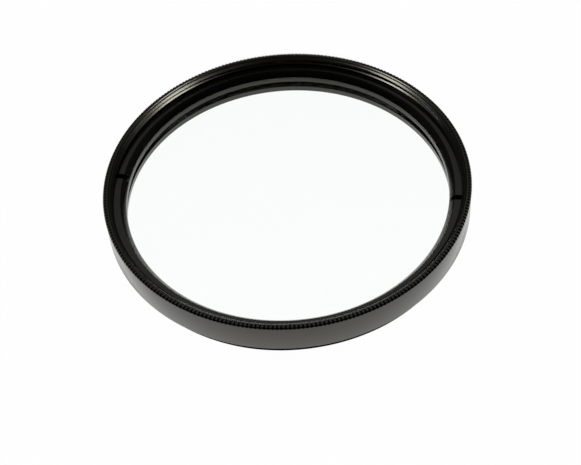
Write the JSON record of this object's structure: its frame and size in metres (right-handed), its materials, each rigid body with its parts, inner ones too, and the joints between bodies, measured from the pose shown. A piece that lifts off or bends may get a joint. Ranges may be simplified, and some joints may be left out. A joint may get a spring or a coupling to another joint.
{
  "type": "screw in lens filter",
  "caption": "Thin round camera lens filter: clear glass disc in a black knurled metal ring with a male thread behind, a female thread in front and a slotted retaining ring.",
  "frame": {"origin": "on the axis, in the plane of the male thread's end face, on which the filter rests", "axes": "+Z along the optical axis, out of the front of the filter and away from the lens; +X through one of the retaining ring's two slots"},
  "size_m": [0.054, 0.054, 0.0066],
  "materials": {
    "black_anodised_aluminium": "gloss black anodised",
    "clear_glass": "polished, clear"
  },
  "bodies": {
    "root": {"filter_ring": "black_anodised_aluminium", "glass": "clear_glass", "retaining_ring": "black_anodised_aluminium"}
  },
  "joints": []
}
